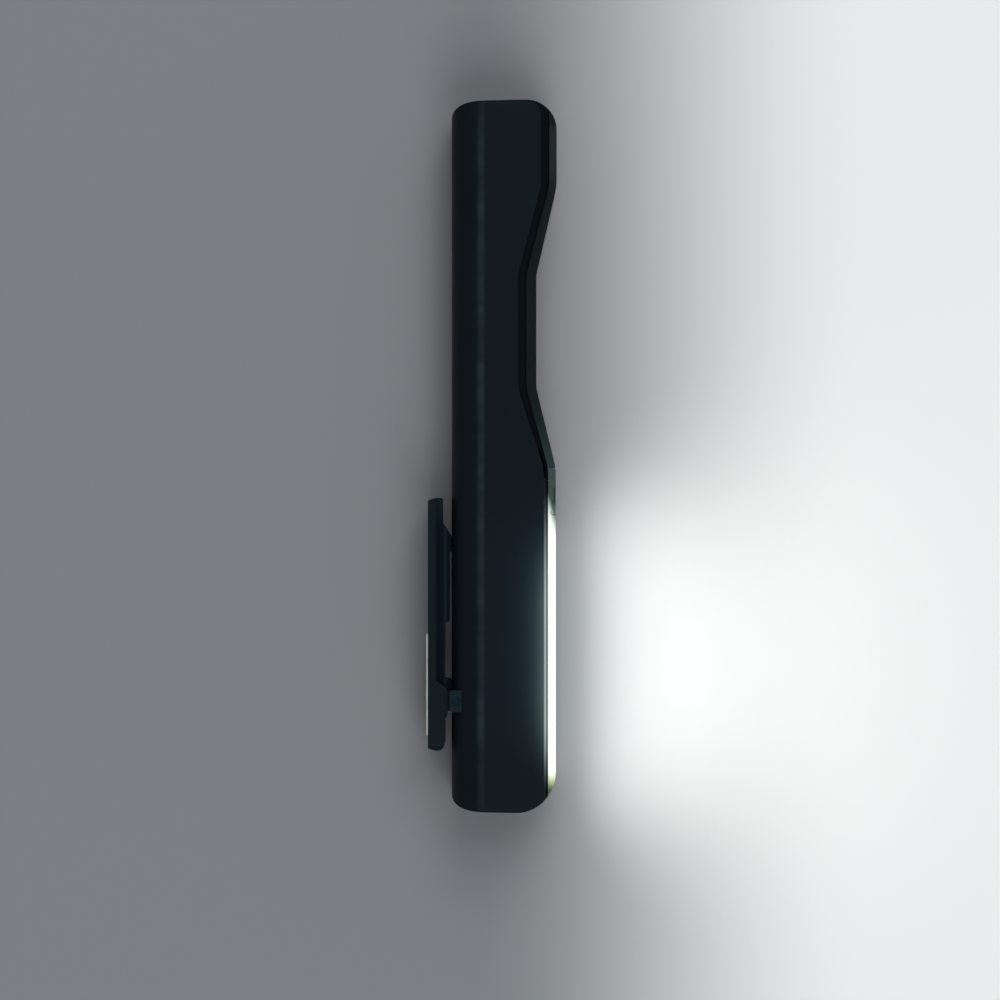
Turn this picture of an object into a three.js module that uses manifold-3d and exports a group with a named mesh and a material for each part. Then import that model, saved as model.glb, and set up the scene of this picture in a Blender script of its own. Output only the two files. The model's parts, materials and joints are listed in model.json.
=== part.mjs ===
// Pocket work light: a slim hand lamp with a long light strip along its head, a waisted
// handle with a push button, a covered charging port and a sprung clip with a magnet on its back.
// Millimetres. X points out of the lit front, Y runs along the lamp towards the handle end and
// Z is up. The lamp lies on one flat side in the plane Z = 0, so every piece is modelled about
// the lamp's middle plane and the whole lamp is lifted by half its width at the end.

import * as THREE from 'three';
import { mergeVertices } from 'three/addons/utils/BufferGeometryUtils.js';
import { ConvexGeometry } from 'three/addons/geometries/ConvexGeometry.js';
import Module from 'manifold-3d';

const wasm = await Module();
wasm.setup();

// Fits
const contactGap = 0.05;
const slipGap = 0.15;
const slideGap = 0.2;
const sideGap = 0.3;
const pinGap = 0.06;
const bossGap = 0.9;

// Body shell
const bodyWidth = 26;
const handleDepth = 24.3;
const waistDepth = 19.6;
const wall = 2;
const backFillet = 7.9;
const planCorner = 1.2;
const endDraft = 0.7;
const backCornerRun = 7.6;
const backCornerRise = 3.75;
const handleCorner = 7.1;
const headCorner = 9.4;
const rimCorner = 4.1;
const leastCorner = 0.4;
const waveBlend = 12;
const formArcSteps = 8;
const planArcSteps = 4;
const waveArcSteps = 5;

// Lengths along the lamp, from the handle end towards the head end
const handleFlat = 20.1;
const upperSlope = 20.4;
const waistLength = 26.2;
const lowerSlope = 18.5;
const seamToPost = 4.1;
const pivotToHeadEnd = 25.8;

// Front plate and the shadow line under it
const coverAtHandle = 1.7;
const coverAtWaist = 2.3;
const lensThickness = 1.75;
const lensPocketFromSeam = 2.7;
const lensPocketLength = 8.1;
const lensPocketWidth = 5;
const lensPocketDepth = 1;
const lensPocketCorner = 1.8;
const reveal = 1.9;
const revealInset = 1;
const gasketThickness = 0.4;
const gasketWidth = 1.6;
const lipThickness = 1.1;
const lipBelowRim = 2;
const lipSetback = 4;

// Light unit
const heatSinkThickness = 1.5;
const heatSinkWallThickness = 1.2;
const heatSinkWallHeight = 5;
const heatSinkSideGap = 1.2;
const cobThickness = 1.5;
const cobSideGap = 2.4;
const cobEndMargin = 2.4;
const cobCorner = 1;
const emitterThickness = 0.6;
const emitterWidth = 9;
const emitterFromSeam = 13.2;
const emitterFromHeadEnd = 10.2;
const trayDepth = 1.7;
const trayFlange = 0.5;
const trayInset = 0.8;
const traySetback = 2.4;
const trayFloor = 0.9;
const trayMouthMargin = 0.6;
const traySplay = 3.2;
const postRadius = 2;

// Cell
const cellDiameter = 14;
const cellLength = 43;
const cellGap = 0.25;
const cellEndGap = 0.4;
const cellButtonRadius = 3.2;
const cellButtonHeight = 0.9;
const cellCrimp = 0.5;
const cellBeadFromShoulder = 1.5;
const cellBeadWidth = 1.5;
const cellSides = 24;
const tabThickness = 0.2;
const tabWidth = 4;
const tabReach = 6.4;
const saddleThickness = 1.6;
const saddleHeight = 5;
const saddleInset = 9;

// Control board and switch
const boardDepth = 9;
const boardThickness = 1.2;
const boardHalfWidth = 9.2;
const boardEndGap = 0.4;
const boardBossRadius = 1.9;
const boardScrewSpread = 6.8;
const boardScrewFromEnd = 7;
const switchSize = 6.2;
const switchHeight = 3.4;
const stemRadius = 1.7;
const stemBoreDepth = 2.2;
const stemLength = 2.4;
const buttonTravel = 0.6;
const buttonLength = 18.3;
const buttonWidth = 8;
const buttonProud = 0.05;
const buttonBevel = 0.35;
const buttonFlange = 0.8;
const buttonFlangeMargin = 0.9;
const buttonFromWaistEnd = 0.4;
const plungerRadius = 1.5;

// Charging port
const socketWidth = 8.94;
const socketHeight = 3.16;
const socketLength = 7.35;
const socketWall = 0.3;
const socketBackWall = 0.6;
const socketCorner = 1.5;
const tongueThickness = 0.7;
const tongueMargin = 0.8;
const flapHalfWidth = 6.4;
const flapThickness = 1;
const flapPlugLength = 0.95;
const flapReach = 6.4;
const flapBead = 0.55;
const flapRecessFromBack = 8.2;

// Screws
const screwHeadRadius = 2.1;
const screwHeadHeight = 1.5;
const screwRecess = 2;
const screwRadius = 1;
const screwLength = 12;
const coverBossRadius = 2.3;
const coverBossMeet = 12;
const upperBossFromHandle = 16.5;
const lowerBossFromSeam = 10.7;
const smallHeadRadius = 1.6;
const smallHeadHeight = 1;
const smallRadius = 0.75;
const crossWidth = 0.6;
const crossDepthShare = 0.6;
const crossReachShare = 0.62;
const cobScrewLength = 8;
const boardScrewLength = 6;

// Clip, measured out from the back face and along from the pivot
const clipStandoff = 3.6;
const clipThickness = 1.9;
const clipWidth = 16;
const clipFreeReach = 47.1;
const clipTailReach = 11.7;
const clipCorner = 2;
const clipEndChamfer = 0.6;
const clipEndSlant = 0.6;
const ribHalfWidth = 6.2;
const ribThickness = 1.8;
const ribAtFreeEnd = 2.1;
const ribAtJaw = 0.1;
const ribAtRail = 0.6;
const ribAtSlot = 1.6;
const jawReach = 34.5;
const jawLength = 3.5;
const jawRamp = 3.2;
const railEnd = 18.3;
const railStep = 1.4;
const railSetIn = 0.5;
const pedestalUpper = 4.6;
const pedestalLower = 4;
const pedestalSlant = 1.6;
const pedestalClearance = 1.1;
const cheekThickness = 1.6;
const knuckleRadius = 2.4;
const knuckleThickness = 2.4;
const knuckleSetIn = 0.4;
const pinRadius = 1;
const pinBelowBack = 1.05;
const pocketHalf = 2.9;
const pocketWall = 1.2;
const lugThickness = 2.5;
const lugHalfLength = 2.55;
const lugProud = 0.45;
const lugCorner = 0.9;
const magnetLength = 23.6;
const magnetWidth = 10;
const magnetThickness = 1.65;
const magnetProud = 0.45;
const magnetFromTail = 3.5;
const magnetCorner = 0.8;

// Torsion spring on the clip's pin
const springWire = 0.6;
const springRadius = 1.7;
const springTurns = 6;
const springPitch = 1.1;
const springLeg = 8;
const springShortLeg = 2.3;
const springStepsPerTurn = 8;
const springSides = 5;

// Chips on the board, placed along it from the button's middle
const driverChip = { fromButton: 14, length: 5, width: 4, height: 1.5, corner: 0.3 };
const inductorCore = { fromButton: 22, length: 5, width: 5, height: 2.6, corner: 1.2 };
const chargeChip = { fromButton: 30, length: 4, width: 4, height: 1, corner: 0.3 };

// Wires
const wireDiameter = 1.2;
const wireSteps = 14;
const wireSides = 6;

// Stations along the lamp
const cellPocket = cellEndGap + cellLength + cellEndGap;
const headLength = seamToPost + postRadius + cellPocket + pocketWall + pocketHalf + pivotToHeadEnd;
const bodyLength = handleFlat + upperSlope + waistLength + lowerSlope + headLength;
const handleEnd = bodyLength / 2;
const upperSlopeStart = handleEnd - handleFlat;
const waistTop = upperSlopeStart - upperSlope;
const waistEnd = waistTop - waistLength;
const seam = waistEnd - lowerSlope;
const headEnd = seam - headLength;
const upperPost = seam - seamToPost;
const cellTop = upperPost - postRadius - cellEndGap;
const cellEnd = cellTop - cellLength;
const pivot = headEnd + pivotToHeadEnd;
const upperBoss = handleEnd - upperBossFromHandle;
const lowerBoss = seam + lowerBossFromSeam;
const buttonCentre = waistEnd + buttonFromWaistEnd + buttonLength / 2;

// Depths from the back face towards the front
const cellCentreDepth = wall + cellGap + cellDiameter / 2;
const heatSinkDepth = wall + 2 * cellGap + cellDiameter;
const cobDepth = heatSinkDepth + heatSinkThickness + contactGap;
const cobFront = cobDepth + cobThickness;
const headRim = cobFront + contactGap + trayDepth;
const trayFlangeDepth = headRim + contactGap;
const gasketDepth = trayFlangeDepth + trayFlange + contactGap;
const lensSeat = gasketDepth + gasketThickness + contactGap;
const headDepth = lensSeat + lensThickness;
const coverSeatAtHandle = handleDepth - coverAtHandle;
const coverSeatAtWaist = waistDepth - coverAtWaist;
const boardFront = boardDepth + boardThickness;
const backFace = -handleDepth / 2;
const halfWidth = bodyWidth / 2;
const far = 2 * bodyLength;

// Both ends lean, so that they reach furthest where the front corners begin
const endSlope = endDraft / handleDepth;
const handleEndAt = (depth) => handleEnd - endSlope * (handleDepth - handleCorner - depth);
const headEndAt = (depth) => headEnd + endSlope * (headDepth - headCorner - depth);
const headCornerRun = headCorner - (headDepth - headRim);
const headCornerRise = headCorner - Math.sqrt(headCorner ** 2 - headCornerRun ** 2);
const lowerPost = headEnd + wall + headCornerRise + smallHeadRadius + slideGap + sideGap;

// Depths of the wavy layers at the handle, the waist and the head
const front = { handle: handleDepth, waist: waistDepth, head: headDepth };
const plateSeat = { handle: coverSeatAtHandle, waist: coverSeatAtWaist, head: lensSeat };
const rim = { handle: coverSeatAtHandle - reveal, waist: coverSeatAtWaist - reveal, head: headRim };
const gasketSeat = { handle: rim.handle + contactGap, waist: rim.waist + contactGap, head: gasketDepth };

const finishes = {
  shell: { color: 0x14191e, roughness: 0.5, metalness: 0 },
  cover: { color: 0x24292c, roughness: 0.45, metalness: 0 },
  rubber: { color: 0x0d1013, roughness: 0.85, metalness: 0 },
  lens: { color: 0xf4f8f6, roughness: 0.3, metalness: 0 },
  white: { color: 0xe6e8e4, roughness: 0.4, metalness: 0 },
  phosphor: { color: 0xf2e27a, roughness: 0.6, metalness: 0 },
  aluminium: { color: 0xb9bcc0, roughness: 0.35, metalness: 1 },
  steel: { color: 0x9a9da1, roughness: 0.3, metalness: 1 },
  nickel: { color: 0xc4c4bd, roughness: 0.25, metalness: 1 },
  wrap: { color: 0x2c5fa8, roughness: 0.35, metalness: 0 },
  board: { color: 0x1f5a3a, roughness: 0.55, metalness: 0 },
  chip: { color: 0x17181a, roughness: 0.5, metalness: 0 },
  red: { color: 0xb02420, roughness: 0.5, metalness: 0 },
  black: { color: 0x151515, roughness: 0.5, metalness: 0 },
};

// A closed geometry becomes a solid that can be cut and joined
function solid(geometry) {
  geometry.deleteAttribute('normal');
  geometry.deleteAttribute('uv');
  const merged = mergeVertices(geometry, 1e-5);
  return new wasm.Manifold(new wasm.Mesh({
    numProp: 3,
    vertProperties: new Float32Array(merged.attributes.position.array),
    triVerts: new Uint32Array(merged.index.array),
  }));
}

function piece(name, body, finish) {
  const { vertProperties, triVerts } = body.getMesh();
  const geometry = new THREE.BufferGeometry();
  geometry.setAttribute('position', new THREE.BufferAttribute(vertProperties, 3));
  geometry.setIndex(new THREE.BufferAttribute(triVerts, 1));
  const material = new THREE.MeshStandardMaterial({ ...finishes[finish], flatShading: true });
  const mesh = new THREE.Mesh(geometry, material);
  mesh.name = name;
  return mesh;
}

// Outlines for prisms along X are drawn in (y, z), along Y in (z, x) and along Z in (x, y)
const axes = {
  x: new THREE.Matrix4().set(0, 0, 1, 0, 1, 0, 0, 0, 0, 1, 0, 0, 0, 0, 0, 1),
  y: new THREE.Matrix4().set(0, 1, 0, 0, 0, 0, 1, 0, 1, 0, 0, 0, 0, 0, 0, 1),
  z: new THREE.Matrix4(),
};

function prism(axis, shape, from, to, arcSteps = 4) {
  const geometry = new THREE.ExtrudeGeometry(shape, {
    depth: to - from,
    bevelEnabled: false,
    curveSegments: arcSteps,
  });
  geometry.translate(0, 0, from);
  geometry.applyMatrix4(axes[axis]);
  return solid(geometry);
}

function box(x, y, z) {
  const geometry = new THREE.BoxGeometry(x[1] - x[0], y[1] - y[0], z[1] - z[0]);
  geometry.translate((x[0] + x[1]) / 2, (y[0] + y[1]) / 2, (z[0] + z[1]) / 2);
  return solid(geometry);
}

function rod(axis, centre, radius, from, to, arcSteps = 8) {
  const circle = new THREE.Shape().absarc(centre[0], centre[1], radius, 0, 2 * Math.PI);
  return prism(axis, circle, from, to, arcSteps);
}

// An outline through corners given as [u, v, radius], with each corner rounded to its radius, or
// as [u, v, [before, after]], with a softer curve that starts and ends at those distances from it
function rounded(corners) {
  const shape = new THREE.Shape();
  corners.forEach(([u, v, radius = 0], i) => {
    const corner = new THREE.Vector2(u, v);
    const [lastU, lastV] = corners.at(i - 1);
    const [nextU, nextV] = corners[(i + 1) % corners.length];
    const before = new THREE.Vector2(lastU, lastV).sub(corner).normalize();
    const after = new THREE.Vector2(nextU, nextV).sub(corner).normalize();
    const draw = i === 0 ? 'moveTo' : 'lineTo';
    if (radius === 0) {
      shape[draw](u, v);
      return;
    }
    if (Array.isArray(radius)) {
      const from = corner.clone().addScaledVector(before, radius[0]);
      const to = corner.clone().addScaledVector(after, radius[1]);
      shape[draw](from.x, from.y);
      shape.quadraticCurveTo(u, v, to.x, to.y);
      return;
    }
    const half = Math.acos(before.dot(after)) / 2;
    const start = corner.clone().addScaledVector(before, radius / Math.tan(half));
    const end = corner.clone().addScaledVector(after, radius / Math.tan(half));
    const middle = before.clone().add(after).normalize();
    const centre = corner.clone().addScaledVector(middle, radius / Math.sin(half));
    const turn = before.cross(after) > 0;
    shape[draw](start.x, start.y);
    shape.absarc(
      centre.x,
      centre.y,
      radius,
      start.sub(centre).angle(),
      end.sub(centre).angle(),
      turn,
    );
  });
  shape.closePath();
  return shape;
}

function slab(u, v, radius) {
  return rounded([
    [u[0], v[0], radius],
    [u[1], v[0], radius],
    [u[1], v[1], radius],
    [u[0], v[1], radius],
  ]);
}

const atDepth = (depth) => backFace + depth;

// The wave that the housing's rim, the shadow line and the front plate all follow
function waveCorners(layer) {
  return [
    [atDepth(layer.handle), upperSlopeStart, waveBlend],
    [atDepth(layer.waist), waistTop, waveBlend],
    [atDepth(layer.waist), waistEnd, waveBlend],
    [atDepth(layer.head), seam, waveBlend],
  ];
}

const waveLine = (layer) => [
  [atDepth(layer.handle), far],
  ...waveCorners(layer),
  [atDepth(layer.head), -far],
];

function band(low, high) {
  return prism('z', rounded([...waveLine(low), ...waveLine(high).reverse()]), -far, far, waveArcSteps);
}

function beneath(layer) {
  return prism('z', rounded([[-far, far], ...waveLine(layer), [-far, -far]]), -far, far, waveArcSteps);
}

// What lies under a layer that turns in round the handle's front corner
function beneathTurned(layer, gap) {
  const end = handleEnd + slipGap + gap;
  const outline = rounded([
    [-far, end],
    [atDepth(layer.handle), end, rimCorner + gap],
    ...waveCorners(layer),
    [atDepth(layer.head), -far],
    [-far, -far],
  ]);
  return prism('z', outline, -far, far, waveArcSteps);
}

const sheet = (low, high) => box([atDepth(low), atDepth(high)], [-far, far], [-far, far]);

function sideOutline(inset) {
  const run = Math.max(backCornerRun - inset, leastCorner);
  const rise = Math.max(backCornerRise - inset, leastCorner);
  return rounded([
    [backFace + inset, handleEndAt(inset) - inset, [rise, run]],
    [atDepth(front.handle), handleEndAt(front.handle) - inset, handleCorner],
    ...waveCorners(front),
    [atDepth(front.head), headEndAt(front.head) + inset, headCorner],
    [backFace + inset, headEndAt(inset) + inset, [run, rise]],
  ]);
}

function section(inset) {
  const side = halfWidth - inset;
  const fillet = Math.max(backFillet - inset, leastCorner);
  return rounded([
    [-side, far],
    [-side, backFace + inset, fillet],
    [side, backFace + inset, fillet],
    [side, far],
  ]);
}

// The lamp's whole outer form, drawn in by an inset on its back, sides and ends
function form(inset) {
  const corner = Math.max(planCorner - inset, leastCorner);
  const plan = slab([headEnd + inset, handleEnd - inset], [inset - halfWidth, halfWidth - inset], corner);
  return prism('z', sideOutline(inset), -far, far, formArcSteps)
    .intersect(prism('y', section(inset), -far, far, formArcSteps))
    .intersect(prism('x', plan, -far, far, planArcSteps));
}

// The outer form with only its two flat sides drawn in
function narrowed(inset) {
  return form(0).intersect(box([-far, far], [-far, far], [inset - halfWidth, halfWidth - inset]));
}

const above = (y) => box([-far, far], [y, far], [-far, far]);
const below = (y) => box([-far, far], [-far, y], [-far, far]);

// Clip pivot
const pinX = backFace + pinBelowBack;
const pocketDepth = pinBelowBack + knuckleRadius + sideGap;
const lugInner = clipWidth / 2 + slideGap;
const lugOuter = lugInner + lugThickness;

function pivotBoss() {
  const reach = [pivot - pocketHalf - pocketWall, pivot + pocketHalf + pocketWall];
  return box([backFace, atDepth(pocketDepth + pocketWall)], reach, [-halfWidth, halfWidth]);
}

function pivotPocket() {
  const y = [pivot - pocketHalf, pivot + pocketHalf];
  return box([-far, atDepth(pocketDepth)], y, [-lugInner, lugInner]);
}

const pinHole = () => rod('z', [pinX, pivot], pinRadius + pinGap, -far, far);

function pivotLugs() {
  const x = [backFace - lugProud, atDepth(pocketDepth)];
  const outline = rounded([
    [x[0], pivot - lugHalfLength, lugCorner],
    [x[0], pivot + lugHalfLength, lugCorner],
    [x[1], pivot + lugHalfLength],
    [x[1], pivot - lugHalfLength],
  ]);
  const right = prism('z', outline, lugInner, lugOuter);
  return right.add(prism('z', outline, -lugOuter, -lugInner));
}

// Charging port in the handle end
const socketDepth = boardFront + contactGap + socketHeight / 2;
const flapHinge = {
  x: atDepth(flapRecessFromBack + flapBead + slipGap),
  y: handleEndAt(flapRecessFromBack) - flapThickness / 2 - contactGap,
};
const flapInner = flapHinge.y - flapThickness / 2;
const plugHalf = { z: socketWidth / 2 + slipGap, x: socketHeight / 2 + slideGap };

function portOpening() {
  const recessX = [atDepth(flapRecessFromBack), flapHinge.x + flapReach + slipGap];
  const recess = box(
    recessX,
    [flapInner - contactGap, far],
    [-flapHalfWidth - slipGap, flapHalfWidth + slipGap],
  );
  const mouth = slab(
    [-plugHalf.z - slideGap, plugHalf.z + slideGap],
    [atDepth(socketDepth) - plugHalf.x - slideGap, atDepth(socketDepth) + plugHalf.x + slideGap],
    socketCorner,
  );
  return recess.add(prism('y', mouth, boardTop - boardEndGap, far));
}

function portFlap() {
  const lid = box(
    [flapHinge.x, flapHinge.x + flapReach],
    [flapInner, flapInner + flapThickness],
    [-flapHalfWidth, flapHalfWidth],
  );
  const bead = rod('z', [flapHinge.x, flapHinge.y], flapBead, -flapHalfWidth, flapHalfWidth, 6);
  const plug = slab(
    [-plugHalf.z, plugHalf.z],
    [atDepth(socketDepth) - plugHalf.x, atDepth(socketDepth) + plugHalf.x],
    socketCorner,
  );
  return lid.add(bead).add(prism('y', plug, flapInner - flapPlugLength, flapInner + contactGap));
}

// Rear housing: a tub with bosses, posts and saddles that carry what lies inside it
function coverBoss(y) {
  const footRadius = screwHeadRadius + slideGap + wall / 2;
  const foot = rod('x', [y, 0], footRadius, backFace, atDepth(screwRecess + wall));
  return foot.add(rod('x', [y, 0], coverBossRadius, backFace, atDepth(coverBossMeet - contactGap)));
}

function coverScrewHole(y) {
  const recess = rod('x', [y, 0], screwHeadRadius + slideGap, -far, atDepth(screwRecess));
  return recess.add(rod('x', [y, 0], screwRadius + slipGap, -far, atDepth(coverBossMeet)));
}

function cobPost(y) {
  const post = rod('x', [y, 0], postRadius, backFace, atDepth(heatSinkDepth - contactGap));
  const bottom = atDepth(heatSinkDepth - cobScrewLength);
  return post.subtract(rod('x', [y, 0], smallRadius + contactGap, bottom, far));
}

const boardEnd = lowerBoss + coverBossRadius + bossGap;
const boardTop = handleEndAt(boardDepth) - wall - boardEndGap;
const boardScrewAt = boardEnd + boardScrewFromEnd;

function boardBoss(side) {
  const centre = [boardScrewAt, side * boardScrewSpread];
  const boss = rod('x', centre, boardBossRadius, backFace, atDepth(boardDepth - contactGap));
  const bottom = atDepth(boardDepth - boardScrewLength);
  return boss.subtract(rod('x', centre, smallRadius + contactGap, bottom, far));
}

function cellSaddle(y) {
  const block = box(
    [backFace, atDepth(wall + saddleHeight)],
    [y - saddleThickness / 2, y + saddleThickness / 2],
    [-cellDiameter / 2 - sideGap, cellDiameter / 2 + sideGap],
  );
  const cell = rod('y', [0, atDepth(cellCentreDepth)], cellDiameter / 2 + cellGap, -far, far, 12);
  return block.subtract(cell);
}

function rearHousing() {
  const outer = form(0).intersect(beneathTurned(rim, 0));
  const fittings = [
    cobPost(upperPost),
    cobPost(lowerPost),
    boardBoss(1),
    boardBoss(-1),
    cellSaddle(cellTop - saddleInset),
    cellSaddle(cellEnd + saddleInset),
    pivotBoss(),
    coverBoss(upperBoss),
    coverBoss(lowerBoss),
  ];
  const hollow = prism('z', sideOutline(wall), -far, far).intersect(prism('y', section(wall), -far, far));
  let shell = outer.subtract(hollow);
  for (const fitting of fittings) {
    shell = shell.add(fitting.intersect(outer));
  }
  return shell
    .subtract(pivotPocket())
    .subtract(coverScrewHole(upperBoss))
    .subtract(coverScrewHole(lowerBoss))
    .subtract(portOpening())
    .add(pivotLugs())
    .subtract(pinHole());
}

// Gasket: the dark line between the housing's rim and the front plate, flush at both ends and
// tapering away where the rim turns in
function gasket() {
  const top = {
    handle: plateSeat.handle - contactGap,
    waist: plateSeat.waist - contactGap,
    head: plateSeat.head - contactGap,
  };
  return narrowed(revealInset)
    .subtract(form(revealInset + gasketWidth))
    .intersect(beneath(top))
    .subtract(beneathTurned(gasketSeat, contactGap));
}

// Front cover of the handle, with a lip that drops inside the housing
const lipInset = revealInset + gasketWidth + slipGap;

function coverLip() {
  const bottom = {
    handle: rim.handle - lipBelowRim,
    waist: rim.waist - lipBelowRim,
    head: rim.head - lipBelowRim,
  };
  const top = {
    handle: plateSeat.handle + contactGap,
    waist: plateSeat.waist + contactGap,
    head: plateSeat.head + contactGap,
  };
  return form(lipInset)
    .subtract(form(lipInset + lipThickness))
    .intersect(band(bottom, top))
    .intersect(above(seam + lipSetback));
}

function coverPost(y) {
  const post = rod('x', [y, 0], coverBossRadius, atDepth(coverBossMeet), far);
  const bottom = atDepth(screwRecess + screwLength + sideGap);
  const hole = rod('x', [y, 0], screwRadius + contactGap, -far, bottom);
  return post.subtract(hole).intersect(beneath(plateSeat).translate(contactGap, 0, 0));
}

const stadium = (length, width) => slab(
  [buttonCentre - length / 2, buttonCentre + length / 2],
  [-width / 2, width / 2],
  width / 2 - contactGap,
);

function frontCover() {
  const opening = stadium(buttonLength + 2 * slideGap, buttonWidth + 2 * slideGap);
  return form(0)
    .subtract(beneath(plateSeat))
    .add(coverLip())
    .add(coverPost(upperBoss))
    .add(coverPost(lowerBoss))
    .intersect(above(seam + slipGap / 2))
    .subtract(prism('x', opening, atDepth(coverSeatAtWaist - sideGap), far));
}

// Push button in the waist, with a flange behind the cover and a plunger on the switch
const switchTop = boardFront + contactGap + switchHeight;
const stemTop = switchTop - stemBoreDepth + buttonTravel + slipGap + stemLength;

function switchButton() {
  const flangeTop = coverSeatAtWaist - 2 * contactGap;
  const flangeLow = flangeTop - buttonFlange;
  const capOutline = stadium(buttonLength - 2 * buttonBevel, buttonWidth - 2 * buttonBevel);
  const cap = new THREE.ExtrudeGeometry(capOutline, {
    depth: waistDepth + buttonProud - flangeTop - buttonBevel,
    bevelThickness: buttonBevel,
    bevelSize: buttonBevel,
    bevelSegments: 2,
    curveSegments: 5,
  });
  cap.translate(0, 0, atDepth(flangeTop));
  cap.applyMatrix4(axes.x);
  const margin = 2 * (buttonFlangeMargin + slideGap);
  const flange = stadium(buttonLength + margin, buttonWidth + margin);
  return solid(cap)
    .add(prism('x', flange, atDepth(flangeLow), atDepth(flangeTop)))
    .add(rod('x', [buttonCentre, 0], plungerRadius, atDepth(stemTop + contactGap), atDepth(flangeTop)));
}

function switchStem() {
  return rod('x', [buttonCentre, 0], stemRadius, atDepth(stemTop - stemLength), atDepth(stemTop));
}

function tactSwitch() {
  const half = switchSize / 2;
  const base = slab([buttonCentre - half, buttonCentre + half], [-half, half], leastCorner);
  const boreRadius = stemRadius + slideGap;
  const bore = rod('x', [buttonCentre, 0], boreRadius, atDepth(switchTop - stemBoreDepth), far);
  return prism('x', base, atDepth(boardFront + contactGap), atDepth(switchTop), 2).subtract(bore);
}

// Control board with the charging socket at its handle end
function controlBoard() {
  const outline = slab([boardEnd, boardTop], [-boardHalfWidth, boardHalfWidth], cobCorner);
  let board = prism('x', outline, atDepth(boardDepth), atDepth(boardFront));
  board = board.subtract(rod('x', [upperBoss, 0], coverBossRadius + sideGap, -far, far));
  for (const side of [1, -1]) {
    const centre = [boardScrewAt, side * boardScrewSpread];
    board = board.subtract(rod('x', centre, smallRadius + slipGap, -far, far));
  }
  return board;
}

function socketOutline(margin) {
  return slab(
    [-socketWidth / 2 + margin, socketWidth / 2 - margin],
    [atDepth(socketDepth) - socketHeight / 2 + margin, atDepth(socketDepth) + socketHeight / 2 - margin],
    socketCorner - margin,
  );
}

const socketMouth = boardTop - boardEndGap;
const socketBack = socketMouth - socketLength;

function usbSocket() {
  const shell = prism('y', socketOutline(0), socketBack, socketMouth, 3);
  return shell.subtract(prism('y', socketOutline(socketWall), socketBack + socketBackWall, far, 3));
}

function usbTongue() {
  const half = socketWidth / 2 - socketWall - tongueMargin;
  return box(
    [atDepth(socketDepth) - tongueThickness / 2, atDepth(socketDepth) + tongueThickness / 2],
    [socketBack + socketBackWall + contactGap, socketMouth - tongueMargin],
    [-half, half],
  );
}

function boardChip({ fromButton, length, width, height, corner }) {
  const y = buttonCentre + fromButton;
  const outline = slab([y - length / 2, y + length / 2], [-width / 2, width / 2], corner);
  const bottom = boardFront + contactGap;
  return prism('x', outline, atDepth(bottom), atDepth(bottom + height), 2);
}

// Light unit under the lens
const cobEnds = [lowerPost - cobEndMargin, upperPost + postRadius + contactGap];
const cobHalfWidth = halfWidth - wall - cobSideGap;
const emitterEnds = [headEnd + emitterFromHeadEnd, seam - emitterFromSeam];

function cobHoles() {
  return rod('x', [upperPost, 0], smallRadius + slipGap, -far, far)
    .add(rod('x', [lowerPost, 0], smallRadius + slipGap, -far, far));
}

function heatSink() {
  const half = halfWidth - wall - heatSinkSideGap;
  const inner = half - heatSinkWallThickness;
  const back = atDepth(heatSinkDepth);
  const profile = rounded([
    [-half, back - heatSinkWallHeight],
    [-inner, back - heatSinkWallHeight],
    [-inner, back, leastCorner],
    [inner, back, leastCorner],
    [inner, back - heatSinkWallHeight],
    [half, back - heatSinkWallHeight],
    [half, back + heatSinkThickness, heatSinkThickness],
    [-half, back + heatSinkThickness, heatSinkThickness],
  ]);
  return prism('y', profile, ...cobEnds, 3).subtract(cobHoles()).intersect(form(wall + sideGap));
}

function cobBoard() {
  const outline = slab(cobEnds, [-cobHalfWidth, cobHalfWidth], cobCorner);
  const plate = prism('x', outline, atDepth(cobDepth), atDepth(cobFront));
  return plate.subtract(cobHoles()).intersect(form(wall + sideGap));
}

function cobEmitter() {
  const outline = slab(emitterEnds, [-emitterWidth / 2, emitterWidth / 2], cobCorner);
  const bottom = cobFront + contactGap;
  return prism('x', outline, atDepth(bottom), atDepth(bottom + emitterThickness));
}

function lightTray() {
  const floor = cobFront + contactGap;
  const lid = trayFlangeDepth + trayFlange;
  const flange = narrowed(trayInset).intersect(sheet(trayFlangeDepth, lid));
  const body = form(wall + sideGap).intersect(sheet(floor, lid));
  const mouth = trayMouthMargin + emitterWidth / 2;
  const corners = [];
  for (const z of [-1, 1]) {
    for (const [end, out] of [[emitterEnds[0], -1], [emitterEnds[1], 1]]) {
      const inner = end + out * trayMouthMargin;
      const outer = inner + out * traySplay;
      corners.push(new THREE.Vector3(atDepth(floor - contactGap), inner, z * mouth));
      corners.push(new THREE.Vector3(atDepth(lid + contactGap), outer, z * (mouth + traySplay)));
    }
  }
  let tray = flange.add(body).subtract(solid(new ConvexGeometry(corners))).subtract(cobHoles());
  for (const y of [upperPost, lowerPost]) {
    tray = tray.subtract(rod('x', [y, 0], smallHeadRadius + slideGap, atDepth(floor + trayFloor), far));
  }
  return tray.intersect(below(seam - traySetback));
}

function lens() {
  const pocketEnds = [seam - lensPocketFromSeam - lensPocketLength, seam - lensPocketFromSeam];
  const pocket = slab(pocketEnds, [-lensPocketWidth / 2, lensPocketWidth / 2], lensPocketCorner);
  return form(0)
    .subtract(beneath(plateSeat))
    .intersect(below(seam - slipGap / 2))
    .subtract(prism('x', pocket, -far, atDepth(lensSeat + lensPocketDepth)));
}

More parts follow.
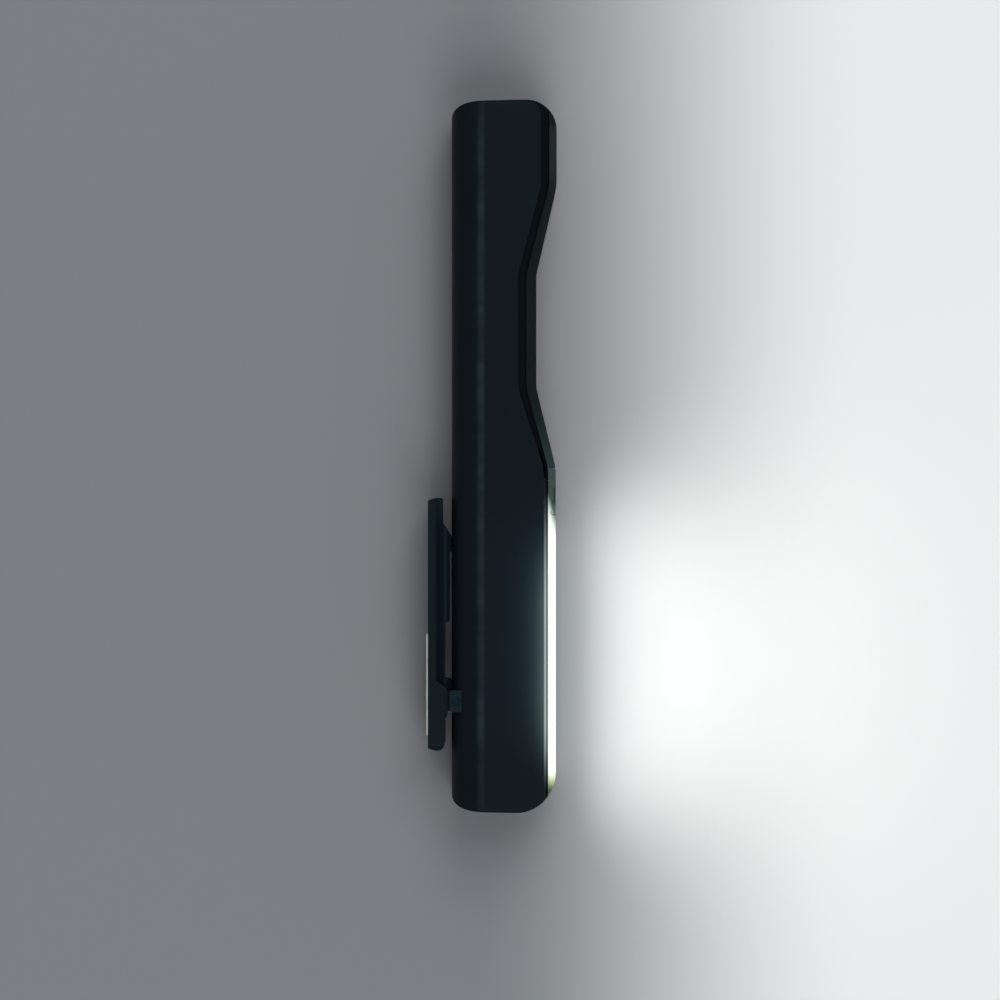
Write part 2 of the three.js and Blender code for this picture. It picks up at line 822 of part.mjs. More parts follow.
// Cell with its crimped rim, its button end and two welded tabs
function batteryCell() {
  const radius = cellDiameter / 2;
  const shoulder = cellLength - cellButtonHeight;
  const beadTop = shoulder - cellBeadFromShoulder;
  const beadEnd = beadTop - cellBeadWidth;
  const profile = [
    [0, 0],
    [radius - cellCrimp, 0],
    [radius, cellCrimp],
    [radius, beadEnd],
    [radius - cellCrimp, beadEnd + cellCrimp],
    [radius - cellCrimp, beadTop - cellCrimp],
    [radius, beadTop],
    [radius, shoulder - cellCrimp],
    [radius - cellCrimp, shoulder],
    [cellButtonRadius, shoulder],
    [cellButtonRadius, cellLength - cellCrimp],
    [cellButtonRadius - cellCrimp, cellLength],
    [0, cellLength],
  ].map(([u, v]) => new THREE.Vector2(u, v));
  const geometry = new THREE.LatheGeometry(profile, cellSides);
  geometry.translate(atDepth(cellCentreDepth), cellEnd, 0);
  return solid(geometry);
}

function cellTab(y, z) {
  const x = atDepth(cellCentreDepth);
  const half = tabThickness / 2;
  return box([x - tabWidth / 2, x + tabWidth / 2], [y - half, y + half], z);
}

function screw(centre, under, length, head, shank, headHeight, way) {
  const [y, z] = centre;
  const neck = atDepth(under);
  const top = neck + way * headHeight;
  const tip = neck - way * length;
  const floor = top - way * headHeight * crossDepthShare;
  const reach = head * crossReachShare;
  const half = crossWidth / 2;
  const x = way > 0 ? [floor, far] : [-far, floor];
  const cross = box(x, [y - reach, y + reach], [z - half, z + half])
    .add(box(x, [y - half, y + half], [z - reach, z + reach]));
  const cap = rod('x', centre, head, Math.min(neck, top), Math.max(neck, top)).subtract(cross);
  return cap.add(rod('x', centre, shank, Math.min(neck, tip), Math.max(neck, tip)));
}

function coverScrew(y) {
  const under = screwRecess - contactGap;
  return screw([y, 0], under, screwLength, screwHeadRadius, screwRadius, screwHeadHeight, -1);
}

function cobScrew(y) {
  const under = cobFront + contactGap + trayFloor + contactGap;
  const length = under - heatSinkDepth + cobScrewLength - sideGap;
  return screw([y, 0], under, length, smallHeadRadius, smallRadius, smallHeadHeight, 1);
}

function boardScrew(side) {
  const centre = [boardScrewAt, side * boardScrewSpread];
  const length = boardThickness + boardScrewLength - sideGap;
  return screw(centre, boardFront + contactGap, length, smallHeadRadius, smallRadius, smallHeadHeight, 1);
}

// Clip: a plate with two stepped inner ribs, a jaw, a pedestal, side walls along the tail that is
// pressed and two knuckles on the pin
const clipInner = backFace - clipStandoff;
const clipOuter = clipInner - clipThickness;

function ribProfile() {
  const out = (standoff) => backFace - standoff;
  return rounded([
    [clipInner - contactGap, pivot + clipFreeReach],
    [out(ribAtFreeEnd), pivot + clipFreeReach, clipEndChamfer],
    [out(ribAtFreeEnd), pivot + jawReach + jawLength + jawRamp, clipEndChamfer],
    [out(ribAtJaw), pivot + jawReach + jawLength, clipEndChamfer],
    [out(ribAtJaw), pivot + jawReach],
    [out(ribAtRail), pivot + jawReach],
    [out(ribAtRail), pivot + railEnd, clipEndChamfer / 2],
    [out(ribAtSlot), pivot + railEnd, clipEndChamfer],
    [out(ribAtSlot), pivot],
    [clipInner - contactGap, pivot],
  ]);
}

function clipRibs() {
  const profile = ribProfile();
  const inner = ribHalfWidth - ribThickness;
  const outer = ribHalfWidth - railSetIn;
  const foot = box([-far, backFace - railStep], [-far, far], [-ribHalfWidth, ribHalfWidth]);
  const hollow = box([-far, far], [-far, pivot + jawReach], [-inner, inner])
    .add(box([-far, far], [pivot + jawReach + jawLength + jawRamp, far], [-inner, inner]));
  return prism('z', profile, -ribHalfWidth, ribHalfWidth)
    .intersect(foot)
    .add(prism('z', profile, -outer, outer))
    .subtract(hollow);
}

const clipEnds = [pivot - clipTailReach, pivot + clipFreeReach];
const clipPlan = () => slab(clipEnds, [-clipWidth / 2, clipWidth / 2], clipCorner);

function pedestal() {
  const floor = backFace - pedestalClearance;
  const root = clipInner - contactGap;
  const cheek = rounded([
    [root, pivot + pedestalUpper],
    [floor, pivot + pedestalUpper - pedestalSlant],
    [floor, pivot - pedestalLower, leastCorner],
    [backFace - ribAtSlot, pivot - pedestalLower],
    [backFace - ribAtSlot, pivot - clipTailReach, clipThickness],
    [root, pivot - clipTailReach],
  ]);
  const stop = rounded([
    [root, pivot + pedestalUpper + sideGap],
    [backFace - ribAtJaw, pivot + pedestalUpper + sideGap, clipEndChamfer],
    [backFace - ribAtJaw, pivot + pocketHalf],
    [floor, pivot + pocketHalf - sideGap],
    [root, pivot],
  ]);
  const outer = clipWidth / 2;
  const inner = outer - cheekThickness;
  return prism('z', cheek, inner, outer)
    .add(prism('z', cheek, -outer, -inner))
    .intersect(prism('x', clipPlan(), -far, far))
    .add(prism('z', stop, -ribHalfWidth, ribHalfWidth));
}

function knuckles() {
  const outer = clipWidth / 2 - knuckleSetIn;
  const inner = outer - knuckleThickness;
  const neck = box(
    [clipInner - contactGap, pinX],
    [pivot - knuckleRadius, pivot + knuckleRadius],
    [-outer, outer],
  );
  const eye = rod('z', [pinX, pivot], knuckleRadius, -outer, outer);
  const space = box([-far, far], [-far, far], [-inner, inner]);
  return neck.add(eye).subtract(space);
}

const magnetEnd = pivot - clipTailReach + magnetFromTail;
const magnetEnds = [magnetEnd, magnetEnd + magnetLength];

function magnetOutline(margin) {
  return slab(
    [magnetEnds[0] - margin, magnetEnds[1] + margin],
    [-magnetWidth / 2 - margin, magnetWidth / 2 + margin],
    magnetCorner,
  );
}

function clipPlate() {
  const [tail, free] = clipEnds;
  const side = rounded([
    [clipOuter, tail + clipEndSlant, leastCorner],
    [clipInner, tail],
    [clipInner, free],
    [clipOuter, free - clipEndSlant, leastCorner],
  ]);
  return prism('x', clipPlan(), clipOuter, clipInner).intersect(prism('z', side, -far, far));
}

function clipArm() {
  const pocketFloor = clipOuter - magnetProud + magnetThickness + contactGap;
  return clipPlate()
    .add(clipRibs())
    .add(pedestal())
    .add(knuckles())
    .subtract(pinHole())
    .subtract(prism('x', magnetOutline(slipGap), -far, pocketFloor));
}

function clipMagnet() {
  const outer = clipOuter - magnetProud;
  return prism('x', magnetOutline(0), outer, outer + magnetThickness);
}

function clipPin() {
  return rod('z', [pinX, pivot], pinRadius, contactGap - lugOuter, lugOuter - contactGap);
}

// A tube of straight-sided rings through a list of points, closed at both ends
function tube(points, radius, sides) {
  const rings = [];
  const facing = new THREE.Vector3(0, 0, 1);
  points.forEach((point, i) => {
    const before = points[Math.max(i - 1, 0)];
    const after = points[Math.min(i + 1, points.length - 1)];
    const along = after.clone().sub(before).normalize();
    const across = facing.clone().addScaledVector(along, -facing.dot(along)).normalize();
    const third = along.clone().cross(across);
    for (let k = 0; k < sides; k += 1) {
      const angle = (2 * Math.PI * k) / sides;
      const offset = across.clone().multiplyScalar(radius * Math.cos(angle));
      rings.push(point.clone().add(offset).addScaledVector(third, radius * Math.sin(angle)));
    }
  });
  const faces = [];
  const last = (points.length - 1) * sides;
  for (let k = 0; k < sides; k += 1) {
    const next = (k + 1) % sides;
    for (let start = 0; start < last; start += sides) {
      faces.push(start + k, start + next, start + sides + next);
      faces.push(start + k, start + sides + next, start + sides + k);
    }
  }
  for (let k = 1; k < sides - 1; k += 1) {
    faces.push(0, k + 1, k);
    faces.push(last, last + k, last + k + 1);
  }
  const geometry = new THREE.BufferGeometry().setFromPoints(rings);
  geometry.setIndex(faces);
  return geometry;
}

// One leg of the spring bears on the floor of the pocket, the other pushes the clip's tail out
function springPoints() {
  const standoff = clipStandoff + pinBelowBack - springWire / 2 - contactGap;
  const reach = Math.hypot(springRadius, springLeg);
  const lean = Math.asin(standoff / reach) - Math.atan2(springRadius, springLeg);
  const floorGap = pocketDepth - pinBelowBack - springRadius - springWire / 2 - contactGap;
  const turn = 2 * Math.PI * springTurns + Math.PI - lean;
  const steps = Math.round((turn / (2 * Math.PI)) * springStepsPerTurn);
  const width = (turn / (2 * Math.PI)) * springPitch;
  const points = [new THREE.Vector3(pinX + springRadius + floorGap, pivot - springShortLeg, -width / 2)];
  for (let i = 0; i <= steps; i += 1) {
    const angle = (turn * i) / steps;
    points.push(new THREE.Vector3(
      pinX + springRadius * Math.cos(angle),
      pivot + springRadius * Math.sin(angle),
      width * (i / steps - 0.5),
    ));
  }
  const root = points.at(-1);
  points.push(new THREE.Vector3(
    root.x - springLeg * Math.sin(lean),
    root.y - springLeg * Math.cos(lean),
    root.z,
  ));
  return points;
}

function leastSelfGap(points, diameter) {
  let least = Infinity;
  points.forEach((a, i) => {
    for (const b of points.slice(i + springStepsPerTurn - 2)) {
      least = Math.min(least, a.distanceTo(b) - diameter);
    }
  });
  return least;
}

const springRoute = springPoints();
const springGap = leastSelfGap(springRoute, springWire);
console.log('least gap of the clip spring to itself, mm:', springGap.toFixed(2));

// Wires inside the lamp, each along its route of [depth, y, z] points
function wire(route) {
  const curve = new THREE.CatmullRomCurve3(route.map(([depth, y, z]) => (
    new THREE.Vector3(atDepth(depth), y, z)
  )));
  return solid(tube(curve.getPoints(wireSteps), wireDiameter / 2, wireSides));
}

const wireRadius = wireDiameter / 2;
const underBoard = boardDepth - wireRadius - slipGap;
const wireClear = coverBossRadius + wireDiameter;
const upperTab = cellTop + cellEndGap / 2;
const lowerTab = cellEnd - cellEndGap / 2;
const sideRun = cellDiameter / 2 + wireDiameter + sideGap;
const boardPad = boardEnd + wireDiameter;
const cobPad = cobEnds[1] + slideGap;
const overBoard = boardFront + wireRadius + slipGap;
const cobMiddle = cobDepth + cobThickness / 2;

const cellPositiveRoute = [
  [cellCentreDepth, upperTab + tabThickness / 2 + slipGap, tabReach - wireRadius],
  [cellCentreDepth, upperPost, tabReach],
  [underBoard, lowerBoss, wireClear + wireDiameter],
  [underBoard, boardPad, wireClear + wireDiameter],
];
const cellNegativeRoute = [
  [cellCentreDepth, lowerTab - tabThickness / 2 - slipGap - wireRadius, -tabReach],
  [cellCentreDepth - wireDiameter, lowerTab, -sideRun],
  [cellCentreDepth - 2 * wireDiameter, cellEnd + cellLength / 3, -sideRun],
  [cellCentreDepth - 2 * wireDiameter, cellTop - cellLength / 3, -sideRun],
  [underBoard, cellTop, -sideRun],
  [underBoard, lowerBoss, -wireClear - wireDiameter],
  [underBoard, boardPad, -wireClear - wireDiameter],
];
const cobRoute = (side) => [
  [overBoard, boardPad, side * wireClear],
  [overBoard + wireDiameter, lowerBoss, side * wireClear],
  [cobMiddle - 2 * wireDiameter, (lowerBoss + cobPad) / 2, side * wireClear],
  [cobMiddle, cobPad, side * wireClear],
];

const lamp = new THREE.Group();
lamp.position.z = halfWidth;
lamp.add(
  piece('rear_housing', rearHousing(), 'shell'),
  piece('front_cover', frontCover(), 'cover'),
  piece('rim_gasket', gasket(), 'rubber'),
  piece('lens', lens(), 'lens'),
  piece('light_tray', lightTray(), 'white'),
  piece('cob_board', cobBoard(), 'white'),
  piece('cob_emitter', cobEmitter(), 'phosphor'),
  piece('heat_sink', heatSink(), 'aluminium'),
  piece('cob_screw_upper', cobScrew(upperPost), 'steel'),
  piece('cob_screw_lower', cobScrew(lowerPost), 'steel'),
  piece('battery_cell', batteryCell(), 'wrap'),
  piece('cell_tab_positive', cellTab(upperTab, [-tabWidth / 2, tabReach]), 'nickel'),
  piece('cell_tab_negative', cellTab(lowerTab, [-tabReach, tabWidth / 2]), 'nickel'),
  piece('control_board', controlBoard(), 'board'),
  piece('driver_chip', boardChip(driverChip), 'chip'),
  piece('inductor', boardChip(inductorCore), 'chip'),
  piece('charge_chip', boardChip(chargeChip), 'chip'),
  piece('tact_switch', tactSwitch(), 'chip'),
  piece('usb_socket', usbSocket(), 'nickel'),
  piece('usb_tongue', usbTongue(), 'black'),
  piece('board_screw_left', boardScrew(-1), 'steel'),
  piece('board_screw_right', boardScrew(1), 'steel'),
  piece('cover_screw_upper', coverScrew(upperBoss), 'steel'),
  piece('cover_screw_lower', coverScrew(lowerBoss), 'steel'),
  piece('wire_cell_positive', wire(cellPositiveRoute), 'red'),
  piece('wire_cell_negative', wire(cellNegativeRoute), 'black'),
  piece('wire_cob_positive', wire(cobRoute(1)), 'red'),
  piece('wire_cob_negative', wire(cobRoute(-1)), 'black'),
  piece('switch_button', switchButton(), 'rubber'),
  piece('switch_stem', switchStem(), 'black'),
  piece('port_flap', portFlap(), 'rubber'),
  piece('clip_arm', clipArm(), 'shell'),
  piece('clip_magnet', clipMagnet(), 'nickel'),
  piece('clip_pin', clipPin(), 'black'),
  piece('clip_spring', solid(tube(springRoute, springWire / 2, springSides)), 'steel'),
);

export default lamp;
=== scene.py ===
import json
import math

import bmesh
import bpy
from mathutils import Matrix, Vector

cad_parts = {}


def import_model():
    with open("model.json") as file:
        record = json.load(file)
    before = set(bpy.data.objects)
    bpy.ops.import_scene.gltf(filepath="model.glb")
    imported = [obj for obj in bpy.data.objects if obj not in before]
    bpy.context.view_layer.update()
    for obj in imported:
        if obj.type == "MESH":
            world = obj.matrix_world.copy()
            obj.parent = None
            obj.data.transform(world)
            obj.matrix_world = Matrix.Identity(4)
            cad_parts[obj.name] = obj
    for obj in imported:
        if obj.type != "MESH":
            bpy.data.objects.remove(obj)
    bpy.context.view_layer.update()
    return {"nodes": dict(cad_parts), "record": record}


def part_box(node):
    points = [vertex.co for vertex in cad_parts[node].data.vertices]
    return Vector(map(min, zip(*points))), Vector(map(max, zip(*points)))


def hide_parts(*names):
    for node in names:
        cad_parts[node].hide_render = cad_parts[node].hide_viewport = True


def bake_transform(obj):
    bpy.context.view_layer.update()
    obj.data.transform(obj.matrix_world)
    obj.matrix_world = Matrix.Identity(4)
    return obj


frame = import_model()
nodes = frame["nodes"]
scene = bpy.context.scene
MM = 0.001


# Where things lie on the lamp, in millimetres in the part's frame
def box_mm(name):
    """The lowest and the highest corner of a CAD node's box."""
    low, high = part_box(name)
    return Vector(low) / MM, Vector(high) / MM


HOUSING_LOW, HOUSING_HIGH = box_mm("rear_housing")
COVER_LOW, COVER_HIGH = box_mm("front_cover")
LENS_LOW, LENS_HIGH = box_mm("lens")
TRAY_LOW, TRAY_HIGH = box_mm("light_tray")
EMITTER_LOW, EMITTER_HIGH = box_mm("cob_emitter")
CELL_HIGH = box_mm("battery_cell")[1]
FLAP_LOW, FLAP_HIGH = box_mm("port_flap")
CLIP_LOW, CLIP_HIGH = box_mm("clip_arm")
PIN_LOW, PIN_HIGH = box_mm("clip_pin")
PIN = (PIN_LOW + PIN_HIGH) / 2
MIDDLE = PIN.z
LIT_FROM = EMITTER_HIGH.y
LIT_TO = EMITTER_LOW.y

FLANGE_RISE = 0.55
BACK_ROUND = 7.25
PLATE_THICK = 1.9
RIM = TRAY_HIGH.x - FLANGE_RISE
BACK_EDGE = HOUSING_LOW.x + BACK_ROUND
CLIP_PLATE = CLIP_LOW.x + PLATE_THICK

# The light strip: how strongly it makes other pieces glow, with reach and spacing in millimetres
RIM_GLOW = 0.1
RIM_GLOW_REACH = 1.6
SIDE_GLOW = 0.021
SIDE_GLOW_REACH = 5.0
GASKET_GLOW = 0.16
FLANGE_GLOW = 0.5
TRAY_GLOW = 0.3
CHIP_SPACING = 2.2
RIM_GLOW_COLOUR = (0.46, 0.68, 0.58, 1)
SIDE_GLOW_COLOUR = (0.15, 0.53, 1, 1)

SHEEN_TINT = (0.6, 0.84, 1.0, 1.0)
EVEN = (1, 1, 1)
ALONG_LAMP = (1, 0.05, 1)
ACROSS_MAGNET = (1, 1, 0.05)


def linear(r, g, b):
    """A colour written in screen values from 0 to 255, as the shader's linear colour."""

    def one(v):
        v /= 255
        return v / 12.92 if v <= 0.04045 else ((v + 0.055) / 1.055) ** 2.4

    return one(r), one(g), one(b), 1.0


class Material:
    """A principled material whose helpers add the nodes that feed it, in the piece's own coordinates."""

    def __init__(self, name):
        self.material = bpy.data.materials.new(name)
        self.material.use_nodes = True
        self.tree = self.material.node_tree
        self.tree.nodes.clear()
        output = self.add("ShaderNodeOutputMaterial")
        self.shader = self.add("ShaderNodeBsdfPrincipled")
        self.link(self.shader.outputs["BSDF"], output.inputs["Surface"])
        self.place = self.add("ShaderNodeTexCoord").outputs["Object"]

    def add(self, kind):
        return self.tree.nodes.new(kind)

    def link(self, a, b):
        self.tree.links.new(a, b)

    def put(self, value, socket):
        if isinstance(value, bpy.types.NodeSocket):
            self.link(value, socket)
        else:
            socket.default_value = value

    def set(self, **values):
        for name, value in values.items():
            self.put(value, self.shader.inputs[name.replace("_", " ")])

    def noise(self, size_mm, detail, stretch=EVEN):
        mapping = self.add("ShaderNodeMapping")
        mapping.inputs["Scale"].default_value = stretch
        self.link(self.place, mapping.inputs["Vector"])
        node = self.add("ShaderNodeTexNoise")
        node.inputs["Scale"].default_value = 1 / (size_mm * MM)
        node.inputs["Detail"].default_value = detail
        node.inputs["Roughness"].default_value = 0.55
        self.link(mapping.outputs["Vector"], node.inputs["Vector"])
        return node.outputs["Fac"]

    def cells(self, size_mm):
        node = self.add("ShaderNodeTexVoronoi")
        node.inputs["Scale"].default_value = 1 / (size_mm * MM)
        self.link(self.place, node.inputs["Vector"])
        return node.outputs["Distance"]

    def math(self, operation, a, b=0.0):
        node = self.add("ShaderNodeMath")
        node.operation = operation
        self.put(a, node.inputs[0])
        self.put(b, node.inputs[1])
        return node.outputs[0]

    def ramp(self, value, low, high, out_low=0.0, out_high=1.0):
        """A smooth step between two values; low may lie above high."""
        node = self.add("ShaderNodeMapRange")
        node.interpolation_type = "SMOOTHSTEP"
        self.put(value, node.inputs["Value"])
        node.inputs["From Min"].default_value = low
        node.inputs["From Max"].default_value = high
        node.inputs["To Min"].default_value = out_low
        node.inputs["To Max"].default_value = out_high
        return node.outputs["Result"]

    def ramp_mm(self, value, low, high, out_low=0.0, out_high=1.0):
        return self.ramp(value, low * MM, high * MM, out_low, out_high)

    def product(self, first, *others):
        for other in others:
            first = self.math("MULTIPLY", first, other)
        return first

    def mix(self, factor, a, b):
        node = self.add("ShaderNodeMix")
        node.data_type = "RGBA"
        self.put(factor, node.inputs["Factor"])
        self.put(a, node.inputs["A"])
        self.put(b, node.inputs["B"])
        return node.outputs["Result"]

    def axis(self, name):
        node = self.add("ShaderNodeSeparateXYZ")
        self.link(self.place, node.inputs[0])
        return node.outputs[name]

    def away(self, name, place_mm):
        """Distance from a place along one axis, in metres."""
        return self.math("ABSOLUTE", self.math("SUBTRACT", self.axis(name), place_mm * MM))

    def distance(self, x_mm, y_mm):
        """Distance from an upright line through x and y, in metres."""
        x = self.away("X", x_mm)
        y = self.away("Y", y_mm)
        squares = self.math("ADD", self.math("MULTIPLY", x, x), self.math("MULTIPLY", y, y))
        return self.math("SQRT", squares)

    def stretch(self, first, second, third, fourth):
        """A weight along the lamp: 1 from the second place to the third, 0 past the first and fourth."""
        y = self.axis("Y")
        return self.product(self.ramp_mm(y, first, second), self.ramp_mm(y, fourth, third))

    def sideways(self, low, high):
        """1 on faces that look to either flat side of the lamp."""
        normal = self.add("ShaderNodeNewGeometry").outputs["True Normal"]
        node = self.add("ShaderNodeSeparateXYZ")
        self.link(normal, node.inputs[0])
        return self.ramp(self.math("ABSOLUTE", node.outputs["Z"]), low, high)

    def edges(self):
        """1 along outer edges."""
        pointed = self.add("ShaderNodeNewGeometry").outputs["Pointiness"]
        return self.ramp(pointed, 0.505, 0.56)

    def bump(self, height, depth_mm):
        node = self.add("ShaderNodeBump")
        node.inputs["Strength"].default_value = 1.0
        node.inputs["Distance"].default_value = depth_mm * MM
        self.link(height, node.inputs["Height"])
        self.link(node.outputs["Normal"], self.shader.inputs["Normal"])


# Kinds of material
def moulded(name, colour, worn, roughness, grain_mm=0.22, grain_depth=0.012, specular=0.1, shade=None):
    """Moulded plastic: fine spark-eroded grain, faint handling marks and paler worn edges."""
    m = Material(name)
    smudge = m.noise(14, 4)
    fleck = m.ramp(m.noise(0.55, 2, (1, 0.35, 1)), 0.66, 0.74, 0.0, 0.25)
    toned = m.mix(m.ramp(smudge, 0.35, 0.7, 0.0, 0.35), colour, worn)
    flecked = m.mix(fleck, toned, worn)
    paler_tone = m.mix(m.math("MULTIPLY", m.edges(), 0.6), flecked, worn)
    m.set(
        Base_Color=shade(m, paler_tone) if shade else paler_tone,
        Roughness=m.ramp(smudge, 0.3, 0.75, roughness - 0.05, roughness + 0.07),
        Specular_IOR_Level=specular,
        Specular_Tint=SHEEN_TINT,
    )
    m.bump(m.noise(grain_mm, 2), grain_depth)
    return m


def rubber(name, colour, worn, specular=0.08, shade=None):
    """Dull rubber with dust in its fine grain."""
    m = Material(name)
    dust = m.noise(6, 4)
    dusty = m.mix(m.ramp(dust, 0.4, 0.75, 0.0, 0.5), colour, worn)
    m.set(
        Base_Color=shade(m, dusty) if shade else dusty,
        Roughness=m.ramp(dust, 0.3, 0.7, 0.6, 0.75),
        Specular_IOR_Level=specular,
    )
    m.bump(m.noise(0.35, 3), 0.015)
    return m


def metal(name, colour, stain, roughness, grain=ALONG_LAMP):
    """Metal with fine drawn lines and a little tarnish."""
    m = Material(name)
    lines = m.noise(0.12, 2, grain)
    tarnish = m.noise(3.5, 4)
    m.set(
        Base_Color=m.mix(m.ramp(tarnish, 0.4, 0.8, 0.0, 0.6), colour, stain),
        Metallic=1.0,
        Roughness=m.ramp(lines, 0.3, 0.7, roughness - 0.07, roughness + 0.1),
    )
    m.bump(lines, 0.004)
    return m


def circuit(name, mask, trace):
    """Solder mask with slightly raised traces under it."""
    m = Material(name)
    lanes = m.ramp(m.noise(2.4, 1, (1, 0.3, 1)), 0.48, 0.52)
    m.set(
        Base_Color=m.mix(m.math("MULTIPLY", lanes, 0.55), mask, trace),
        Roughness=m.ramp(lanes, 0.0, 1.0, 0.34, 0.42),
        Specular_IOR_Level=0.4,
    )
    m.bump(lanes, 0.03)
    return m


def light_leak(m):
    """Light that gets out past the rim of the lens, strongest along the middle of the strip."""
    return m.stretch(LIT_FROM + 8.4, LIT_FROM - 19, LIT_TO + 12, LIT_TO - 5.2)


# Housing, cover, clip and seals
def painted_edge_highlights(m, colour):
    """Painted highlights: a paler line where the flat side meets the rounded back, and paler lugs by the
    pivot, standing in for light caught there.
    """
    side = m.sideways(0.85, 0.95)
    edge = m.ramp_mm(m.away("X", BACK_EDGE), 1.4, 0.1)
    patchy = m.ramp(m.noise(4, 4, (0.15, 1, 1)), 0.3, 0.7, 0.45, 1.0)
    y = m.axis("Y")
    lower_end = m.ramp_mm(y, HOUSING_LOW.y + 4.5, HOUSING_LOW.y + 22.5, 0.4, 1.0)
    handle_end = m.ramp_mm(y, HOUSING_HIGH.y - 0.5, HOUSING_HIGH.y - 11.5, 0.35, 1.0)
    line = m.product(edge, side, patchy, lower_end, handle_end)
    lug_highlight = m.product(
        m.ramp_mm(m.away("Y", PIN.y), 2.7, 2.5),
        m.ramp_mm(m.axis("X"), PIN.x + 1.5, PIN.x + 1.3),
        side,
    )
    # Painted highlights: the edge line and the lugs are coloured paler, as if lit.
    highlighted = m.mix(line, colour, linear(35, 45, 50))
    return m.mix(lug_highlight, highlighted, linear(19, 29, 35))


def housing_plastic():
    """Near black; the lens lights the side next to it with a narrow bright edge and a wide bluish one."""
    # The shade adds painted highlights along the back's edge and on the pivot's lugs.
    m = moulded("housing_plastic", linear(10, 16, 21), linear(15, 22, 27), 0.46, shade=painted_edge_highlights)
    from_rim = m.math("SUBTRACT", m.axis("X"), (RIM - 0.35) * MM)
    near = m.product(
        m.math("EXPONENT", m.math("DIVIDE", from_rim, RIM_GLOW_REACH * MM)),
        m.stretch(LIT_FROM + 2.3, LIT_FROM - 21, LIT_TO + 18, LIT_TO - 4.2),
        RIM_GLOW,
    )
    wide = m.product(
        m.math("EXPONENT", m.math("DIVIDE", from_rim, SIDE_GLOW_REACH * MM)),
        m.stretch(LIT_FROM + 11, LIT_FROM - 18, LIT_TO + 22, LIT_TO - 2),
        SIDE_GLOW,
    )
    both = m.math("ADD", near, wide)
    share = m.math("DIVIDE", near, m.math("MAXIMUM", both, 1e-5))
    m.set(
        Emission_Color=m.mix(share, SIDE_GLOW_COLOUR, RIM_GLOW_COLOUR),
        Emission_Strength=m.product(both, m.sideways(0.8, 0.95)),
    )
    return m


def cover_shade(m, colour):
    """The cover is paler near the handle end, and painted light makes its edge paler next to the lens."""
    top = COVER_HIGH.y
    patchy = m.ramp(m.noise(3, 4), 0.3, 0.7, 0.75, 1.0)
    handle = m.product(m.stretch(top - 3.4, top - 4.2, top - 12, top - 21), patchy)
    # Painted light: the cover's edge next to the lens is coloured paler, as if lit by it.
    painted_lens_light = m.product(
        m.ramp_mm(m.axis("Y"), COVER_LOW.y + 16, COVER_LOW.y - 5),
        m.ramp_mm(m.away("Z", MIDDLE), 8, 12.5, 0.25, 1.0),
    )
    # Paler near the handle end.
    paler_tone = m.mix(handle, colour, linear(38, 42, 45))
    return m.mix(painted_lens_light, paler_tone, linear(46, 60, 60))


def clip_shade(m, colour):
    """Painted shade darkens the set-in ribs between the jaw and the pedestal below the plate's tone, and a
    painted highlight makes their rail paler.
    """
    x = m.axis("X")
    rib_shade = m.product(
        m.ramp_mm(m.away("Z", MIDDLE), 7.4, 6.6),
        m.ramp_mm(x, CLIP_PLATE - 0.15, CLIP_PLATE + 0.15),
        m.stretch(CLIP_HIGH.y - 1.4, CLIP_HIGH.y - 7.4, PIN.y + 2.2, PIN.y + 0.7),
    )
    rail_highlight = m.product(
        m.ramp_mm(x, CLIP_PLATE + 1.7, CLIP_PLATE + 1.8),
        m.ramp_mm(x, CLIP_PLATE + 2.55, CLIP_PLATE + 2.4),
    )
    # Painted shade on the set-in ribs, with a painted highlight on the rail.
    return m.mix(rib_shade, colour, m.mix(rail_highlight, linear(6, 17, 24), linear(20, 31, 37)))


def cover_plastic():
    """Dark grey satin plastic."""
    return moulded(
        "cover_plastic", linear(17, 23, 24), linear(24, 30, 32), 0.42, specular=0.06, shade=cover_shade
    )


def clip_plastic():
    """Near black satin plastic."""
    return moulded(
        "clip_plastic", linear(17, 25, 29), linear(22, 30, 35), 0.44, specular=0.04, shade=clip_shade
    )


def magnet_plate():
    """Satin nickel plating, cloudy enough to look pale from every side, with fine scratches across it."""
    m = metal("magnet_plate", linear(236, 238, 226), linear(206, 208, 196), 0.42, ACROSS_MAGNET)
    m.set(Metallic=0.3)
    return m


def flap_shade(m, colour):
    """The flap over the charging socket is greyer and dustier than the gasket."""
    flap = m.product(
        m.ramp_mm(m.axis("Y"), FLAP_LOW.y - 0.6, FLAP_LOW.y - 0.2),
        m.ramp_mm(m.axis("X"), FLAP_HIGH.x + 0.6, FLAP_HIGH.x + 0.2),
    )
    dusty = m.mix(m.noise(1.2, 4), linear(22, 29, 32), linear(30, 37, 40))
    return m.mix(flap, colour, dusty)


def gasket_rubber():
    """Black rubber, through which a little of the lamp's light shows beside the lens."""
    m = rubber("gasket_rubber", linear(9, 17, 21), linear(13, 21, 25), specular=0.02, shade=flap_shade)
    m.set(
        Emission_Color=linear(236, 250, 246),
        Emission_Strength=m.product(light_leak(m), GASKET_GLOW),
    )
    return m


# Light unit
def pocket_outline(m):
    """The pocket behind the lens's clear end shows through its side as a dark line that ends in a bow."""
    bow_radius = 0.6
    bow_middle = LIT_FROM + 3
    line = m.product(
        m.ramp_mm(m.away("X", LENS_HIGH.x - 0.35), 0.3, 0.12),
        m.stretch(LIT_FROM + 9, LIT_FROM + 8.2, LIT_FROM + 5.2, LIT_FROM + 4.4),
    )
    from_bow = m.distance(LENS_HIGH.x - 0.55, bow_middle)
    bow = m.product(
        m.ramp_mm(m.math("ABSOLUTE", m.math("SUBTRACT", from_bow, bow_radius * MM)), 0.24, 0.08),
        m.ramp_mm(m.axis("Y"), bow_middle + 0.5, bow_middle),
    )
    return m.product(m.math("MAXIMUM", line, bow), m.sideways(0.8, 0.95))


